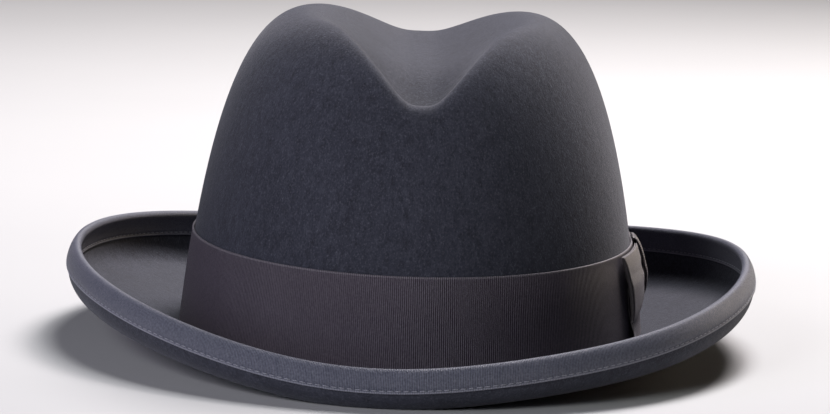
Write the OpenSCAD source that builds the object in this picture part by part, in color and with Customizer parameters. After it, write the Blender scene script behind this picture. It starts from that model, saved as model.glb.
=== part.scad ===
// Felt hat with a centre-dented crown, a curled and ribbon-bound brim, a wide ribbon band with a
// flat side bow, a leather sweatband on a reed, and a satin lining.
// Frame: +Z up, front of the hat towards -Y, wearer's left towards +X. The origin is on the surface
// that the brim rests on, under the middle of the brim. Millimetres.
//
// Everything follows a few surfaces: the wall and top of the crown, and the brim, which runs out from
// the break (the corner between crown and brim) and then curls up and over on an arc.
// Directions round the hat are angles t: 0 at the wearer's left, 90 at the back, 270 at the front.

/* [Crown] */
// Half width of the crown where it meets the brim
crown_half_w = 89.4; // [86:0.2:93]
// Half length of the crown where it meets the brim
crown_half_l = 106; // [102:0.5:110]
// Height of the undented crown above the break
crown_h = 129.6; // [122:0.2:136]
// How much narrower the crown is at its top, as a share of its half width
crown_taper = 0.141; // [0.08:0.001:0.18]
// Roundness of the shoulder, seen in height: 2 is an ellipse
shoulder_rise = 2.46; // [2.2:0.02:2.8]
// Squareness of the shoulder, seen in width: 2 is an ellipse
shoulder_square = 5.8; // [5:0.1:6.4]
// Thickness of the felt
felt_t = 2.2; // [1.8:0.1:2.4]

/* [Dent] */
// Height of the floor of the centre dent above the break, half way along the crown
dent_floor = 108.2; // [104:0.2:112]
// How much the dent's floor climbs towards the back, per millimetre
dent_climb = 0.071; // [0.05:0.001:0.11]
// Distance of the dent's middle line from the crown's, towards the wearer's left
dent_aside = 1.3; // [0:0.1:2]
// Steepness of the dent's sides at the back
dent_steepness = 0.71; // [0.65:0.01:0.85]
// Steepness of the dent's sides at the front
dent_steepness_front = 1.88; // [1.5:0.01:2]
// Roundness of the dent's floor at the back
dent_round = 10.6; // [9:0.1:14]
// Roundness of the dent's floor at the front
dent_round_front = 8; // [7:0.1:12]
// How flat the dent's floor is across: 2 makes a round trough, more a flatter one
dent_flat = 3.1; // [2:0.1:3.2]
// Softness of the ridges on both sides of the dent at the back
ridge_soft = 5.2; // [5:0.1:9]
// Softness of the ridge round the front of the dent
ridge_soft_front = 4; // [3.6:0.1:6]
// Where the dent's front part passes into its back part, towards the back from the middle
dent_pass_y = -43.4; // [-50:0.2:-30]
// Extra depth of the hollow behind the front ridge
hollow_depth = 11.2; // [4:0.1:12]
// Middle of that hollow, towards the back from the middle of the crown
hollow_y = -56.6; // [-60:0.2:-45]

/* [Brim] */
// Half width of the brim at its edge
brim_half_w = 130.2; // [126:0.2:134]
// Half length of the brim at its edge
brim_half_l = 150.7; // [147:0.1:156]
// Mean height of the middle of the felt at the break
break_h = 2.3; // [2.3:0.05:3]
// How much higher the break is at the sides than the mean
break_saddle = 1.4; // [1:0.05:1.4]
// Mean slope of the brim from the break to the curl, in degrees
brim_rise = 9.8; // [8:0.1:12]
// Extra slope at the sides, taken away at front and back, in degrees
brim_rise_side = 9.8; // [8:0.1:12]
// Mean radius of the curl
curl_r = 12.1; // [11:0.1:13]
// Extra radius of the curl at the back, taken away at the front
curl_r_back = 3.3; // [0:0.1:4]
// Mean direction of the felt at the end of the curl, in degrees: 90 is straight up
curl_turn = 123; // [110:1:126]
// Extra turn at the sides, in degrees
curl_turn_side = 3; // [0:0.5:4]

/* [Ribbons] */
// Mean height of the band's top edge above the break
band_h = 40.1; // [36:0.1:42]
// How much higher the band's top edge is at the back, and lower at the front
band_h_back = 1.9; // [0:0.1:2.5]
// Thickness of the band's ribbon
band_t = 0.8; // [0.6:0.1:1]
// Width of the binding on each side of the brim's edge
binding_w = 8; // [7:0.1:9]
// Thickness of the binding's ribbon
binding_t = 0.5; // [0.4:0.05:0.6]
// Distance of the binding's stitch line from the brim's edge
binding_stitch_d = 6.9; // [6:0.1:7.2]
// Thickness of the sewing thread
thread_d = 0.5; // [0.4:0.05:0.6]

/* [Bow] */
// Direction of the bow's middle round the crown, in degrees
bow_turn = 0; // [0:1:8]
// Half length of the bow's loops
bow_half_l = 39; // [34:0.5:42]
// How much longer the loops are along their upper edge, at each end
bow_flare = 4.5; // [0:0.1:5]
// How far the loops stand off the band at their highest
bow_loop_h = 4.2; // [3.8:0.1:5]
// Lower end of the knot, as a share of the band's height
knot_low = 0.38; // [0.3:0.01:0.4]
// Width of the knot
knot_w = 13; // [11:0.5:16]
// Thickness of the bow's ribbon
bow_t = 0.4; // [0.35:0.05:0.5]

/* [Inside] */
// Height of the leather sweatband
sweatband_h = 52; // [48:1:54]
// Thickness of the sweatband's leather
sweatband_t = 1; // [0.8:0.05:1]
// Diameter of the reed in the sweatband's lower edge
reed_d = 1.6; // [1.4:0.1:1.6]
// Thickness of the lining's satin and of the tape round the reed
lining_t = 0.4; // [0.3:0.05:0.4]

/* [Hidden] */

// Directions round the hat at which every ring has a point, so that the facets of the layers match
AROUND = 68;
DIRECTIONS = [for (i = [0:AROUND - 1]) i*360/AROUND];

dent_pass_run = 8.3;                         // length over which the dent passes from back to front
hollow_run = 15;                             // how far the front hollow reaches each way
felt_half = felt_t/2;
gap = 0.15;                                  // between a ribbon and the felt
band_face = gap + band_t;                    // outer face of the band, outward from the felt
wall_foot = 1.6;                             // radius of the corner between brim and crown
inner_foot = 3;                              // radius of the corner inside, at the head opening
reed_in = felt_t + gap + lining_t + reed_d/2 + 0.05;     // middle of the reed, inward from the felt's face
reed_z = 1.4;                                // middle of the reed above the middle of the felt
leather_in = felt_t + gap + lining_t + 0.15;             // outer face of the sweatband, inward
leather_foot = 2.9;                          // lower edge of the sweatband above the middle of the felt
lining_in = felt_t + gap;                    // outer face of the lining, inward

// ---- Surfaces ----

function break_z(t) = break_h + break_saddle*cos(2*t);
function crown_foot(t, off = 0) = [(crown_half_w - off)*cos(t), (crown_half_l - off)*sin(t)];
function brim_edge(t) = [brim_half_w*cos(t), brim_half_l*sin(t)];
function brim_span(t) = norm(brim_edge(t) - crown_foot(t));
function outward(t) = (brim_edge(t) - crown_foot(t))/brim_span(t);
function rise(t) = brim_rise + brim_rise_side*cos(2*t);
function turn(t) = curl_turn + curl_turn_side*cos(2*t);
function radius(t) = curl_r + curl_r_back*sin(t);
function run(t) = (brim_span(t) - radius(t)*(sin(turn(t)) - sin(rise(t))))/cos(rise(t));

// A point of the brim in direction t. u is 0 at the break, 1 where the curl starts and 2 at the edge.
// off is measured from the middle of the felt, plus on the upper, inner side. past goes on beyond u
// in the direction of the felt there.
function brim_at(t, u, off = 0, past = 0) =
    let (a = u <= 1 ? rise(t) : rise(t) + (u - 1)*(turn(t) - rise(t)),
         l = min(u, 1)*run(t),
         d = l*cos(rise(t)) + radius(t)*(sin(a) - sin(rise(t))) - off*sin(a) + past*cos(a),
         z = l*sin(rise(t)) + radius(t)*(cos(rise(t)) - cos(a)) + off*cos(a) + past*sin(a))
    [each (crown_foot(t) + outward(t)*d), break_z(t) + z];

// The u of the point of the curl that is the length d from the edge, on the layer at off
function from_edge(t, d, off) = 2 - d*180/PI/(radius(t) - off)/(turn(t) - rise(t));

// Round the felt's edge: g is -90 on the outer side, 90 on the inner side
function edge_at(t, g, half) = brim_at(t, 2, half*sin(g), half*cos(g));

// Soft minimum of two heights: soft is the height that the corner between them loses, about
function soft_min(a, b, soft) = -soft*ln(exp(-a/soft) + exp(-b/soft));

// A value of the dent at y, from its values at the back and at the front
function passing(y, back, front) = back + (front - back)/(1 + exp((y - dent_pass_y)/dent_pass_run));

// Height of the dent's trough over the point p, for the layer at off inside the outer face
function trough(p, off) =
    let (steep = passing(p[1], dent_steepness, dent_steepness_front),
         rounding = passing(p[1], dent_round, dent_round_front),
         aside = abs(p[0] - dent_aside),
         root = pow(pow(aside, dent_flat) + pow(rounding, dent_flat), 1/dent_flat),
         slope = steep*pow(aside/root, dent_flat - 1),
         away = (p[1] - hollow_y)/hollow_run,
         hollow = hollow_depth*exp(-away*away/2),
         slope_along = dent_climb + hollow*away/hollow_run)
    break_h + dent_floor + dent_climb*p[1] + steep*(root - rounding) - hollow
        - off*sqrt(1 + slope*slope + slope_along*slope_along);

// A point of the crown: s is its height as a share of the crown's, q its width as a share of the foot's
function crown_point(t, s, q, off) =
    let (p = crown_foot(t, off)*q*(1 - crown_taper*s))
    [each p, soft_min(break_h + (crown_h - off)*s, trough(p, off),
        passing(p[1], ridge_soft, ridge_soft_front))];

// The same by width share, for the top, and by angle down the shoulder, from 0 at the top to 90
function top_at(t, q, off = 0) =
    crown_point(t, pow(1 - pow(q, shoulder_square), 1/shoulder_rise), q, off);
function shoulder_at(t, a, off = 0) =
    crown_point(t, pow(cos(a), 2/shoulder_rise), pow(sin(a), 2/shoulder_square), off);

// A point of the crown's wall at the height z, off inward from the outer face
function wall_at(t, z, off = 0) =
    let (s = max(0, z - break_h)/(crown_h - off), q = pow(1 - pow(s, shoulder_rise), 1/shoulder_square))
    [each (crown_foot(t, off)*q*(1 - crown_taper*s)), z];

// The band's foot and top round the wall, and a height between them
function corner_z(t) = break_z(t) + felt_half/cos(rise(t));
function band_foot_z(t) = corner_z(t) + wall_foot;
function band_top_z(t) = break_h + band_h + band_h_back*sin(t);
function band_z(t, v) = band_foot_z(t) + v*(band_top_z(t) - band_foot_z(t));

// A point on a curve that rounds the corner b between a and c
function rounded(a, b, c, v) = (1 - v)*(1 - v)*a + 2*v*(1 - v)*b + v*v*c;

function reversed(rows) = [for (i = [len(rows) - 1:-1:0]) rows[i]];

// ---- Solids from rows of points ----

// The two triangles between four corners, two on one row and two on the next. Their diagonals mirror
// each other on the two sides of the hat, and so run along its ridges.
function quad(a, b, c, d, j, n) =
    j < n/4 || j >= 3*n/4 ? [[a, b, d], [b, c, d]] : [[a, b, c], [a, c, d]];

// A closed ring or tube: rows of points, each row closed, and the last row joined to the first
module ring_of(rows) {
    m = len(rows);
    n = len(rows[0]);
    polyhedron(
        points = [for (row = rows) each row],
        faces = [for (i = [0:m - 1], j = [0:n - 1])
            let (a = i*n, b = (i + 1)%m*n, next = (j + 1)%n)
            each quad(a + j, a + next, b + next, b + j, j, n)]);
}

// A closed body: the same, but the first and last rows shrink to one point each
module body_of(first, rows, last) {
    m = len(rows);
    n = len(rows[0]);
    polyhedron(
        points = [first, for (row = rows) each row, last],
        faces = [
            for (j = [0:n - 1]) [0, 1 + (j + 1)%n, 1 + j],
            for (i = [0:m - 2], j = [0:n - 1])
                let (a = 1 + i*n, b = 1 + (i + 1)*n, next = (j + 1)%n)
                each quad(a + j, a + next, b + next, b + j, j, n),
            for (j = [0:n - 1]) [1 + m*n, 1 + (m - 1)*n + j, 1 + (m - 1)*n + (j + 1)%n]]);
}

// A strip of cloth: two sheets of points, front and back, joined round their rim
module strip_of(front, back) {
    m = len(front);
    n = len(front[0]);
    k = m*n;
    rim = [for (j = [0:n - 1]) j, for (i = [1:m - 1]) i*n + n - 1,
           for (j = [n - 2:-1:0]) (m - 1)*n + j, for (i = [m - 2:-1:1]) i*n];
    polyhedron(
        points = [for (row = front) each row, for (row = back) each row],
        faces = [
            for (i = [0:m - 2], j = [0:n - 2])
                let (a = i*n + j, b = a + 1, c = a + n + 1, d = a + n)
                each [[a, b, c], [a, c, d], [k + a, k + c, k + b], [k + a, k + d, k + c]],
            for (i = [0:len(rim) - 1])
                let (a = rim[i], b = rim[(i + 1)%len(rim)])
                each [[a, k + b, b], [a, k + a, k + b]]]);
}

// A thread or cord round the hat: a tube of radius r about the points mid(t), in the plane that holds
// the outward direction and the height
module cord_of(mids, r, sides = 6) {
    ring_of([for (k = [0:sides - 1])
        let (a = k*360/sides)
        [for (i = [0:AROUND - 1])
            let (o = outward(DIRECTIONS[i])*r*cos(a)) mids[i] + [o[0], o[1], r*sin(a)]]]);
}

// A short straight thread between two points
module thread_between(a, b) {
    v = b - a;
    translate(a)
        rotate([0, acos(v[2]/norm(v)), atan2(v[1], v[0])])
            cylinder(d = thread_d, h = norm(v), $fn = 8);
}

// ---- Felt ----

// Rows of the crown's outer face from top to band, then of the wall, given as shares
TOP_WIDTHS = [0.14, 0.28, 0.41, 0.53, 0.63];
SHOULDER_ANGLES = [18, 25, 32, 38, 44, 50, 58, 67];
WALL_SHARES = [1.12, 0.75, 0.5, 0.25, 0];
INNER_WALL_SHARES = [0, 0.33, 0.66, 1.12];
CORNER_SHARES = [0.4, 1];
BRIM_SHARES = [0.35, 0.7];
CURL_STEPS = 7;

module felt_body() {
    outer = [
        for (q = TOP_WIDTHS) [for (t = DIRECTIONS) top_at(t, q)],
        for (a = SHOULDER_ANGLES) [for (t = DIRECTIONS) shoulder_at(t, a)],
        for (v = WALL_SHARES) [for (t = DIRECTIONS) wall_at(t, band_z(t, v))],
        for (v = CORNER_SHARES) [for (t = DIRECTIONS)
            rounded(wall_at(t, band_foot_z(t)), [each crown_foot(t), corner_z(t)],
                brim_at(t, wall_foot/run(t), felt_half), v)],
        for (u = BRIM_SHARES) [for (t = DIRECTIONS) brim_at(t, u, felt_half)],
        for (i = [0:CURL_STEPS]) [for (t = DIRECTIONS) brim_at(t, 1 + i/CURL_STEPS, felt_half)]];
    edge = [for (g = [45, 0, -45]) [for (t = DIRECTIONS) edge_at(t, g, felt_half)]];
    under = [
        for (i = [CURL_STEPS:-1:0]) [for (t = DIRECTIONS) under_at(t, 1 + i/CURL_STEPS)],
        for (u = reversed(BRIM_SHARES)) [for (t = DIRECTIONS) under_at(t, u)],
        for (v = [0, 0.5]) [for (t = DIRECTIONS)
            lifted(rounded(brim_at(t, (inner_foot - felt_t)/run(t), -felt_half), under_corner(t),
                wall_at(t, under_corner(t)[2] + inner_foot, felt_t), v))]];
    inner = [
        for (v = INNER_WALL_SHARES) [for (t = DIRECTIONS)
            wall_at(t, band_z(t, v), felt_t)],
        for (a = reversed(SHOULDER_ANGLES)) [for (t = DIRECTIONS) shoulder_at(t, a, felt_t)],
        for (q = reversed(TOP_WIDTHS)) [for (t = DIRECTIONS) top_at(t, q, felt_t)]];
    color("#3b3d49")
        body_of(top_at(0, 0), [each outer, each edge, each under, each inner], top_at(0, 0, felt_t));
}

// The underside of the brim, pressed flat where it rests
function lifted(p) = [p[0], p[1], max(0, p[2])];
function under_at(t, u) = lifted(brim_at(t, u, -felt_half));
function under_corner(t) =
    [each crown_foot(t, felt_t), break_z(t) - felt_half/cos(rise(t)) - felt_t*tan(rise(t))];

// ---- Brim binding ----

// Both layers of the binding from its outer lower edge round the felt's edge to its inner lower edge
function binding_layer(half) = [
    for (v = [1, 0.66, 0.33]) [for (t = DIRECTIONS) brim_at(t, from_edge(t, v*binding_w, -half), -half)],
    for (g = [-90, -30, 30, 90]) [for (t = DIRECTIONS) edge_at(t, g, half)],
    for (v = [0.33, 0.66, 1]) [for (t = DIRECTIONS) brim_at(t, from_edge(t, v*binding_w, half), half)]];

binding_inner = felt_half + gap;
binding_outer = binding_inner + binding_t;
thread_gap = 0.03;                           // between the stitches and the ribbon they hold

module brim_binding() {
    color("#54576a")
        ring_of([each reversed(binding_layer(binding_outer)), each binding_layer(binding_inner)]);
}

// A stitch line on one side of the binding, side -1 outside and 1 inside
module binding_thread(side) {
    off = side*(binding_outer + thread_d/2 + thread_gap);
    cord_of([for (t = DIRECTIONS) brim_at(t, from_edge(t, binding_stitch_d, off), off)], thread_d/2, 4);
}

module binding_needle_thread() {
    color("#6c6f82") binding_thread(-1);
}

module binding_bobbin_thread() {
    color("#6c6f82") binding_thread(1);
}

// ---- Band ----

module hat_band() {
    shares = [0, 0.25, 0.5, 0.75, 1];
    face = [for (v = shares) [for (t = DIRECTIONS) wall_at(t, band_z(t, v), -band_face)]];
    back = [for (v = shares) [for (t = DIRECTIONS) wall_at(t, band_z(t, v), -gap)]];
    color("#463e48") ring_of([each face, each reversed(back)]);
}

// Small stitches over the band's top edge that hold it to the felt
TACK_TURNS = [35, 75, 105, 145];

module band_tacks() {
    reach = 0.9;                             // above and below the band's top edge
    off = -band_face - thread_d/2 - 0.05;
    for (t = TACK_TURNS) {
        low = wall_at(t, band_top_z(t) - reach, off);
        high = wall_at(t, band_top_z(t) + reach, off);
        color("#3a333c") thread_between(low, high);
    }
}

// ---- Bow ----
// The bow's own coordinates: e is the length round the band from the bow's middle, plus towards the
// back, v the share of the band's height, and o the distance outward from the band's face.

bow_layer = 0.15;                            // between the layers of the bow
pinch_h = 2*bow_t + bow_layer;               // the loops' thickness inside the knot
knot_over = 0.35;                            // how far the knot stands above the loops
tail_low = 0.02;                             // lower and upper edge of the tails, as shares
tail_high = 0.62;
sink_end = 0.16;                             // how far above the tails the upper layers reach the band
sink_run = 0.14;                             // the share of the height over which they sink to it
roundness = 0.6;                             // of the bow over its width: less is fuller at the edges
puff_rise = 0.2;                             // how fast a loop opens beside the knot: less is faster
puff_fall = 0.45;                            // the share of its puff that a loop loses at the fold
crowding = 0.8;                              // of the loops' rows: less puts more of them at the folds
BOW_SHARES = [0, 0.15, 0.35, 0.6, 0.85, 1];

function bow_at(e, v, o) =
    let (t = bow_turn + e*180/PI/crown_half_l) wall_at(t, band_z(t, v), -band_face - o);

// How full the bow is over its own width: s is 0 at its lower edge and 1 at its upper edge
function dome(s) = pow(max(0, 1 - pow(2*s - 1, 2)), roundness);

// A smooth step from 0 to 1
function step(x) = let (c = min(1, max(0, x))) c*c*(3 - 2*c);

// The knot's back and the loops lie over the tails, and sink to the band above them
function knot_back_o(v) = bow_layer + (bow_t + bow_layer)*step((tail_high + sink_end - v)/sink_run);
function loops_o(v) = knot_back_o(v) + bow_t + bow_layer;
loops_mid_o = loops_o(0.5);

// The loops narrow towards the knot, from below, and are longest along their upper edge
loop_low_fold = 0.26;                        // lower edge at the folds and at the knot, upper edge
loop_low_knot = 0.44;
loop_high = 0.975;
function loop_v(share, s) =
    let (low = loop_low_knot + (loop_low_fold - loop_low_knot)*abs(share))
    low + s*(loop_high - low);
function loop_half_l(s) = bow_half_l + bow_flare*s*s*s;

// How puffed a loop is at the length e from the bow's middle
function loop_puff(e, half_l) =
    let (x = min(1, max(0, (abs(e) - knot_w/2)/(half_l - knot_w/2)))) pow(x, puff_rise)*(1 - puff_fall*x);

// The outline of the loops at one level, seen from above and shrunk by r: from the front fold along
// the outer face to the back fold, and along the inner face to the front again, as [e, v, o]
LOOP_STEPS = 14;
function loop_outline(s, r) =
    let (half_l = loop_half_l(s),
         full = (bow_loop_h - loops_mid_o - pinch_h)*dome(s),
         fold_r = (pinch_h + full*loop_puff(half_l, half_l))/2,
         l = half_l - fold_r,
         steps = [for (i = [0:LOOP_STEPS])
             let (k = 2*i/LOOP_STEPS - 1, e = l*sign(k)*pow(abs(k), crowding))
             [e, loop_v(e/half_l, s)]],
         end_v = loop_v(1, s),
         mid = loops_o(end_v) + fold_r)
    [for (p = steps) [p[0], p[1], loops_o(p[1]) + pinch_h + full*loop_puff(p[0], half_l) - r],
     for (a = [60:-30:-60]) [l + (fold_r - r)*cos(a), end_v, mid + (fold_r - r)*sin(a)],
     for (p = reversed(steps)) [p[0], p[1], loops_o(p[1]) + r],
     for (a = [-60:30:60]) [-l - (fold_r - r)*cos(a), end_v, mid + (fold_r - r)*sin(a)]];

module bow_loops() {
    function layer(r) =
        [for (s = BOW_SHARES) [for (p = loop_outline(s, r)) bow_at(p[0], p[1], p[2])]];
    color("#463e48") ring_of([each reversed(layer(0)), each layer(bow_t)]);
}

// The flat strip under the loops, its ends cut on a slant
module bow_tails() {
    ends = bow_half_l - 2;                   // half length half way up the band
    slant = 3;
    rows = 3;
    sheet = [for (i = [0:rows]) let (v = tail_low + (tail_high - tail_low)*i/rows)
        [for (k = [-1:0.25:1]) [k*(ends + slant*(0.5 - v)), v]]];
    color("#463e48") strip_of(
        [for (row = sheet) [for (p = row) bow_at(p[0], p[1], bow_layer + bow_t)]],
        [for (row = sheet) [for (p = row) bow_at(p[0], p[1], bow_layer)]]);
}

// The upright strip that wraps round the middle of the loops
module bow_knot() {
    high = 1.03;                             // the knot's upper edge, just over the band's
    inset = 0.02;                            // how much shorter the strip's inner side is, at each end
    function v_at(s, r) = let (k = inset*r/bow_t) knot_low + (k + s*(1 - 2*k))*(high - knot_low);
    function front(s, v) =
        let (least = knot_back_o(v) + 2*bow_t + bow_layer)
        least + (bow_loop_h + knot_over - loops_mid_o + bow_layer)*dome(s);
    function path(r) = [
        for (s = KNOT_SHARES) let (v = v_at(s, r)) [v, front(s, v) - r],
        for (s = reversed(KNOT_SHARES)) let (v = v_at(s, r)) [v, knot_back_o(v) + r]];
    edges = [-1, -0.33, 0.33, 1]*knot_w/2;
    color("#4a424c") ring_of([
        each [for (e = edges) [for (p = path(0)) bow_at(e, p[0], p[1])]],
        each [for (e = reversed(edges)) [for (p = path(bow_t)) bow_at(e, p[0], p[1])]]]);
}
KNOT_SHARES = [0, 0.08, 0.25, 0.5, 0.75, 0.92, 1];

// ---- Sweatband ----

module sweatband() {
    heights = [leather_foot, 20, 37, sweatband_h + leather_foot];
    function layer(off) = [for (h = heights) [for (t = DIRECTIONS) wall_at(t, break_z(t) + h, off)]];
    color("#5b3a29") ring_of([each layer(leather_in), each reversed(layer(leather_in + sweatband_t))]);
}

function reed_mid(t) = wall_at(t, break_z(t) + reed_z, reed_in);

module sweatband_reed() {
    color("#d8d4c8") cord_of([for (t = DIRECTIONS) reed_mid(t)], reed_d/2);
}

// The tape wraps under the reed and goes up behind the leather
module reed_tape() {
    flange = 5;                              // how far the tape goes up behind the leather
    front_up = 0.5;                          // and in front, above the reed's middle
    function layer(r) = [
        [for (t = DIRECTIONS) wall_at(t, break_z(t) + reed_z + flange, reed_in - r)],
        for (a = [0:60:180]) [for (t = DIRECTIONS)
            let (o = outward(t)*r*cos(a)) reed_mid(t) + [o[0], o[1], -r*sin(a)]],
        [for (t = DIRECTIONS) let (o = outward(t)*r) reed_mid(t) + [-o[0], -o[1], front_up]]];
    inner_r = reed_d/2 + 0.05;
    color("#2f2a2c") ring_of([each layer(inner_r + lining_t), each reversed(layer(inner_r))]);
}

// The stitch line along the foot of the leather
module sweatband_thread() {
    off = leather_in + sweatband_t + thread_d/2 + 0.05;
    from_foot = leather_foot + 1.6;
    color("#8a6a4c")
        cord_of([for (t = DIRECTIONS) wall_at(t, break_z(t) + from_foot, off)], thread_d/2, 4);
}

// The small flat bow that marks the back of the sweatband
module sweatband_bow() {
    wing = 8;
    knot = 3;
    thickness = 0.6;
    clear = 1.4;                             // off the leather, which curves away at both wings
    from_foot = leather_foot + 5.5;
    y = crown_half_l - leather_in - sweatband_t - thickness - clear;
    color("#2c2a31")
        translate([0, y, break_z(90) + from_foot])
            rotate([90, 0, 0]) linear_extrude(thickness)
                polygon([for (side = [1, -1]) each [
                    [side*knot/2, side*knot/2], [side*wing/2, side*0.9], [side*wing*0.8, side*2.8],
                    [side*wing, side*2.2], [side*wing, -side*2.2], [side*wing*0.8, -side*2.8],
                    [side*wing/2, -side*0.9], [side*knot/2, -side*knot/2]]]);
}

// The paper ticket tucked behind the leather at the back
module size_ticket() {
    half_turn = 7;
    low = 14;
    high = 30;
    front = leather_in - 0.05;
    back = front - 0.25;
    sheet = [for (h = [low, high]) [for (k = [-1:0.4:1]) [90 + k*half_turn, h]]];
    color("#e6e0d0") strip_of(
        [for (row = sheet) [for (p = row) wall_at(p[0], break_z(90) + p[1], back)]],
        [for (row = sheet) [for (p = row) wall_at(p[0], break_z(90) + p[1], front)]]);
}

// ---- Lining ----

seam_angle = 44;                             // where the lining's side and tip meet, on the shoulder
seam_half = 0.7;                             // half the gap between them there, in degrees

LINER_HEIGHTS = [42, 58];                    // rows of the side below the shoulder

module liner_side() {
    function layer(off) = [
        for (h = LINER_HEIGHTS) [for (t = DIRECTIONS) wall_at(t, break_z(t) + h, off)],
        for (a = [58, 50, seam_angle + seam_half]) [for (t = DIRECTIONS) shoulder_at(t, a, off)]];
    color("#33343f") ring_of([each layer(lining_in), each reversed(layer(lining_in + lining_t))]);
}

module liner_tip() {
    function layer(off) = [
        for (q = TOP_WIDTHS) [for (t = DIRECTIONS) top_at(t, q, off)],
        for (a = [18, 25, 32, 38, seam_angle - seam_half]) [for (t = DIRECTIONS) shoulder_at(t, a, off)]];
    inner = lining_in + lining_t;
    color("#3a3b47") body_of(top_at(0, 0, lining_in),
        [each layer(lining_in), each reversed(layer(inner))], top_at(0, 0, inner));
}

module liner_piping() {
    r = 0.7;
    color("#6a6c7c") cord_of(
        [for (t = DIRECTIONS) shoulder_at(t, seam_angle, lining_in + lining_t + r + gap)], r, 4);
}

// The clear oval shield that keeps hair oil off the lining's tip, as wide as the first rows of the tip
SHIELD_WIDTHS = [for (i = [0:3]) TOP_WIDTHS[i]];

module liner_shield() {
    clear = 0.25;                            // between the lining and the shield
    thickness = 0.25;
    outer = lining_in + lining_t + clear;
    function layer(off) = [for (q = SHIELD_WIDTHS) [for (t = DIRECTIONS) top_at(t, q, off)]];
    color("#e8ecf0", 0.35) body_of(top_at(0, 0, outer),
        [each layer(outer), each reversed(layer(outer + thickness))], top_at(0, 0, outer + thickness));
}

felt_body();
brim_binding();
binding_needle_thread();
binding_bobbin_thread();
hat_band();
band_tacks();
bow_tails();
bow_loops();
bow_knot();
sweatband();
sweatband_reed();
reed_tape();
sweatband_thread();
sweatband_bow();
liner_side();
liner_tip();
liner_piping();
liner_shield();
size_ticket();
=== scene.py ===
"""A felt hat with a centre-dented crown, a curled and bound brim, a ribbon band with a side bow, a leather
sweatband and a satin lining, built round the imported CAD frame. Metres; the front of the hat faces -Y.

Directions round the hat are angles t in radians: 0 at the wearer's left, a quarter turn at the back.
Surfaces follow the same formulas as the CAD source, on much finer grids, with the small irregularities
of a hat that was shaped by hand.
"""

import math

import bpy
import numpy as np
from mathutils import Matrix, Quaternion, Vector


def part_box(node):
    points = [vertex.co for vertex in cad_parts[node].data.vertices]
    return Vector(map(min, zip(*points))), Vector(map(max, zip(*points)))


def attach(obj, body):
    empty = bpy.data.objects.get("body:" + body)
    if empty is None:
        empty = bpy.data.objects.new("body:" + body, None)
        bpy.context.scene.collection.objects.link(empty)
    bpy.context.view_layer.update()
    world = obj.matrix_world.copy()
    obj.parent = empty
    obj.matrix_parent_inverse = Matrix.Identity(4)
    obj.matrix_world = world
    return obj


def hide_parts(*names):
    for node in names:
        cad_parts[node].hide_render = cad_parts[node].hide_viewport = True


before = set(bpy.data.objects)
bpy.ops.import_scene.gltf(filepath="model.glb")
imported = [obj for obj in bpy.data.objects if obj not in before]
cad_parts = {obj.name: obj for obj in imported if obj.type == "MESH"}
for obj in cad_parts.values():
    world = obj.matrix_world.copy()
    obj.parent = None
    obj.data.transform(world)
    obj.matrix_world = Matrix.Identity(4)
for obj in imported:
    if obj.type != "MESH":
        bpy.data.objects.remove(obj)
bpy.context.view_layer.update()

TURN = 2*math.pi

# ---- Driving dimensions, as in the CAD source ----

CROWN_HALF_W = 0.0894
CROWN_HALF_L = 0.106
CROWN_H = 0.1296
CROWN_TAPER = 0.141
SHOULDER_RISE = 2.46
SHOULDER_SQUARE = 5.8
FELT_T = 0.0022

DENT_FLOOR = 0.1082
DENT_CLIMB = 0.071
DENT_ASIDE = 0.0013
DENT_STEEPNESS = 0.71
DENT_STEEPNESS_FRONT = 1.88
DENT_ROUND = 0.0106
DENT_ROUND_FRONT = 0.008
DENT_FLAT = 3.1
RIDGE_SOFT = 0.0052
RIDGE_SOFT_FRONT = 0.004
DENT_PASS_Y = -0.0434
DENT_PASS_RUN = 0.0083
HOLLOW_DEPTH = 0.0112
HOLLOW_Y = -0.0566
HOLLOW_RUN = 0.015

BRIM_HALF_W = 0.1302
BRIM_HALF_L = 0.1507
BREAK_H = 0.0023
BREAK_SADDLE = 0.0014
BRIM_RISE = math.radians(9.8)
BRIM_RISE_SIDE = math.radians(9.8)
CURL_R = 0.0121
CURL_R_BACK = 0.0033
CURL_TURN = math.radians(123)
CURL_TURN_SIDE = math.radians(3)

BAND_H = 0.0401
BAND_H_BACK = 0.0019
BAND_T = 0.0008
BINDING_W = 0.008
BINDING_T = 0.0005
BINDING_STITCH_D = 0.0069

BOW_HALF_L = 0.039
BOW_FLARE = 0.0045
BOW_LOOP_H = 0.0042
KNOT_LOW = 0.38
KNOT_W = 0.013
BOW_T = 0.0004

SWEATBAND_H = 0.052
SWEATBAND_T = 0.001
REED_D = 0.0016
LINING_T = 0.0004

GAP = 0.00015
FELT_HALF = FELT_T/2
BAND_FACE = GAP + BAND_T
WALL_FOOT = 0.0016
INNER_FOOT = 0.003
REED_IN = FELT_T + GAP + LINING_T + REED_D/2 + 0.00005
REED_Z = 0.0014
LEATHER_IN = FELT_T + GAP + LINING_T + 0.00015
LEATHER_FOOT = 0.0029
LINING_IN = FELT_T + GAP
SEAM_ANGLE = math.radians(44)

AROUND = 360
DIRECTIONS = np.arange(AROUND)*TURN/AROUND

# Pitches of ribs and stitches along the cloth, and of the ribbons' picks across it
BAND_RIB = 0.00085
BINDING_RIB = 0.00065
PICK = 0.00028
STITCH = 0.0031
SWEATBAND_STITCH = 0.0028

STITCH_THREAD_R = 0.00019
TACK_THREAD_R = 0.00018
SWEATBAND_THREAD_R = 0.00024
STITCH_STEPS = 7

# Degrees: half the gap between the lining's panels, and how far down the felt's and the lining's rows
# follow the shoulder
SEAM_HALF = 0.7
SHOULDER_END = 67
LINING_SHOULDER_END = 64

# Steps of a round edge, from one face to the other
EDGE_ANGLES = np.radians([60, 30, 0, -30, -60])


# ---- Surfaces ----

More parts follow.
